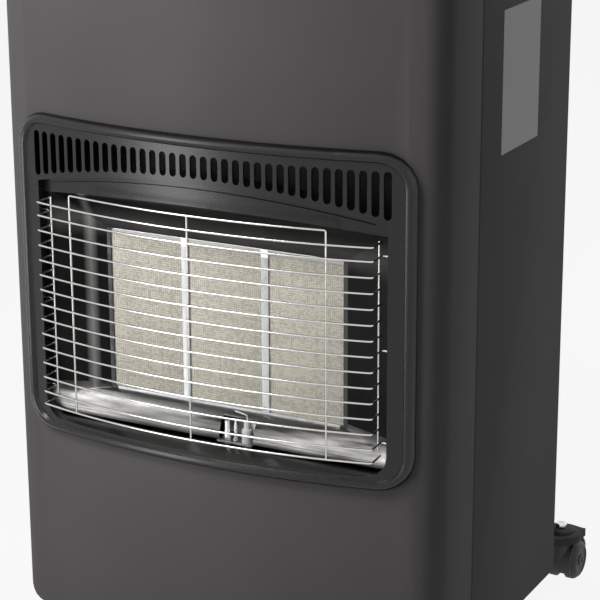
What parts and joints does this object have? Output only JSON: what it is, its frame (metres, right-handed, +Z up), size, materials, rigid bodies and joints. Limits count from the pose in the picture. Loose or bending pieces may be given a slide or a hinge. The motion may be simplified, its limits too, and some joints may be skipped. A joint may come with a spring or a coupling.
{
  "type": "portable gas cabinet heater",
  "caption": "Portable gas cabinet heater: bulged steel cabinet, louvred black bezel with chrome wire guard before ceramic plaques, bottle bay behind, swivel castors.",
  "frame": {"origin": "bottom centre of the heater's overall box, on the floor", "axes": "+X to the heater's right as seen from the front, -Y out of the front, +Z up"},
  "size_m": [0.42, 0.433, 0.7369],
  "materials": {
    "coated_steel": "satin charcoal powder coat",
    "bezel_gloss": "gloss black enamel",
    "black_plastic": "fine matt moulded texture",
    "chrome_wire": "bright plated",
    "reflector_steel": "polished, slightly heat-tinted",
    "galvanised_steel": "zinc, dull spangle",
    "plaque_ceramic": "matt, finely perforated",
    "ceramic_fibre": "matt pressed fibre",
    "insulator_ceramic": "glazed",
    "brass_fitting": "turned, bare",
    "copper_tube": "drawn, lightly oxidised",
    "die_cast": "tumbled die casting",
    "zinc_plated": "bright zinc plate",
    "wheel_rubber": "matt",
    "lead_sheath": "silicone sheath"
  },
  "bodies": {
    "cabinet": {"front_panel": "coated_steel", "left_side_panel": "coated_steel", "right_side_panel": "coated_steel", "base_tray": "coated_steel", "heat_shield": "galvanised_steel", "top_cover": "black_plastic", "bezel": "bezel_gloss", "wire_guard": "chrome_wire", "reflector": "reflector_steel", "burner_frame": "galvanised_steel", "burner_plenum": "galvanised_steel", "pilot_bracket": "galvanised_steel", "gasket_strip": "ceramic_fibre", "gas_rail": "brass_fitting", "ceramic_plaque_left": "plaque_ceramic", "injector_left": "brass_fitting", "ceramic_plaque_centre": "plaque_ceramic", "injector_centre": "brass_fitting", "ceramic_plaque_right": "plaque_ceramic", "injector_right": "brass_fitting", "pilot_burner": "zinc_plated", "thermocouple": "copper_tube", "spark_electrode": "insulator_ceramic", "supply_pipe": "copper_tube", "pilot_pipe": "copper_tube", "ignition_lead": "lead_sheath", "hose_nozzle": "brass_fitting", "control_plate": "black_plastic", "valve_body": "die_cast", "igniter_body": "black_plastic", "castor_bracket_front_left": "coated_steel", "castor_bolt_front_left": "zinc_plated", "castor_bracket_front_right": "coated_steel", "castor_bolt_front_right": "zinc_plated", "castor_bracket_rear_left": "coated_steel", "castor_bolt_rear_left": "zinc_plated", "castor_bracket_rear_right": "coated_steel", "castor_bolt_rear_right": "zinc_plated"},
    "valve_plunger": {"valve_plunger": "brass_fitting"},
    "control_knob": {"valve_spindle": "brass_fitting", "control_knob": "black_plastic"},
    "igniter_button": {"igniter_button": "black_plastic"},
    "rear_cover": {"rear_cover": "coated_steel"},
    "castor_front_left": {"castor_hood_front_left": "black_plastic", "castor_axle_front_left": "zinc_plated"},
    "wheel_a_front_left": {"castor_wheel_a_front_left": "wheel_rubber"},
    "wheel_b_front_left": {"castor_wheel_b_front_left": "wheel_rubber"},
    "castor_front_right": {"castor_hood_front_right": "black_plastic", "castor_axle_front_right": "zinc_plated"},
    "wheel_a_front_right": {"castor_wheel_a_front_right": "wheel_rubber"},
    "wheel_b_front_right": {"castor_wheel_b_front_right": "wheel_rubber"},
    "castor_rear_left": {"castor_hood_rear_left": "black_plastic", "castor_axle_rear_left": "zinc_plated"},
    "wheel_a_rear_left": {"castor_wheel_a_rear_left": "wheel_rubber"},
    "wheel_b_rear_left": {"castor_wheel_b_rear_left": "wheel_rubber"},
    "castor_rear_right": {"castor_hood_rear_right": "black_plastic", "castor_axle_rear_right": "zinc_plated"},
    "wheel_a_rear_right": {"castor_wheel_a_rear_right": "wheel_rubber"},
    "wheel_b_rear_right": {"castor_wheel_b_rear_right": "wheel_rubber"}
  },
  "joints": [
    {"name": "knob_press", "type": "slide", "parent": "cabinet", "child": "valve_plunger", "axis": [0, 0.3225, -0.9466], "range_m": [0, 0.005], "stiffness_N_per_m": 600, "springref_m": -0.004},
    {"name": "knob_turn", "type": "hinge", "parent": "valve_plunger", "child": "control_knob", "pos_m": [0.096, -0.15423, 0.72495], "axis": [0, -0.3225, 0.9466], "range_deg": [0, 240]},
    {"name": "igniter_press", "type": "slide", "parent": "cabinet", "child": "igniter_button", "axis": [0, 0.3225, -0.9466], "range_m": [0, 0.005], "stiffness_N_per_m": 300, "springref_m": -0.004},
    {"name": "rear_cover_pull", "type": "slide", "parent": "cabinet", "child": "rear_cover", "axis": [0, 1, 0], "range_m": [0, 0.45]},
    {"name": "castor_front_left_swivel", "type": "hinge", "parent": "cabinet", "child": "castor_front_left", "pos_m": [-0.158, -0.1115, 0.045], "axis": [0, 0, 1], "continuous": true},
    {"name": "wheel_a_front_left_roll", "type": "hinge", "parent": "castor_front_left", "child": "wheel_a_front_left", "pos_m": [-0.1693, -0.0975, 0.02], "axis": [1, 0, 0], "continuous": true},
    {"name": "wheel_b_front_left_roll", "type": "hinge", "parent": "castor_front_left", "child": "wheel_b_front_left", "pos_m": [-0.1467, -0.0975, 0.02], "axis": [1, 0, 0], "continuous": true},
    {"name": "castor_front_right_swivel", "type": "hinge", "parent": "cabinet", "child": "castor_front_right", "pos_m": [0.158, -0.1115, 0.045], "axis": [0, 0, 1], "continuous": true},
    {"name": "wheel_a_front_right_roll", "type": "hinge", "parent": "castor_front_right", "child": "wheel_a_front_right", "pos_m": [0.1467, -0.0975, 0.02], "axis": [1, 0, 0], "continuous": true},
    {"name": "wheel_b_front_right_roll", "type": "hinge", "parent": "castor_front_right", "child": "wheel_b_front_right", "pos_m": [0.1693, -0.0975, 0.02], "axis": [1, 0, 0], "continuous": true},
    {"name": "castor_rear_left_swivel", "type": "hinge", "parent": "cabinet", "child": "castor_rear_left", "pos_m": [-0.19, 0.1785, 0.045], "axis": [0, 0, 1], "continuous": true},
    {"name": "wheel_a_rear_left_roll", "type": "hinge", "parent": "castor_rear_left", "child": "wheel_a_rear_left", "pos_m": [-0.2013, 0.1925, 0.02], "axis": [1, 0, 0], "continuous": true},
    {"name": "wheel_b_rear_left_roll", "type": "hinge", "parent": "castor_rear_left", "child": "wheel_b_rear_left", "pos_m": [-0.1787, 0.1925, 0.02], "axis": [1, 0, 0], "continuous": true},
    {"name": "castor_rear_right_swivel", "type": "hinge", "parent": "cabinet", "child": "castor_rear_right", "pos_m": [0.19, 0.1785, 0.045], "axis": [0, 0, 1], "continuous": true},
    {"name": "wheel_a_rear_right_roll", "type": "hinge", "parent": "castor_rear_right", "child": "wheel_a_rear_right", "pos_m": [0.1787, 0.1925, 0.02], "axis": [1, 0, 0], "continuous": true},
    {"name": "wheel_b_rear_right_roll", "type": "hinge", "parent": "castor_rear_right", "child": "wheel_b_rear_right", "pos_m": [0.2013, 0.1925, 0.02], "axis": [1, 0, 0], "continuous": true}
  ]
}
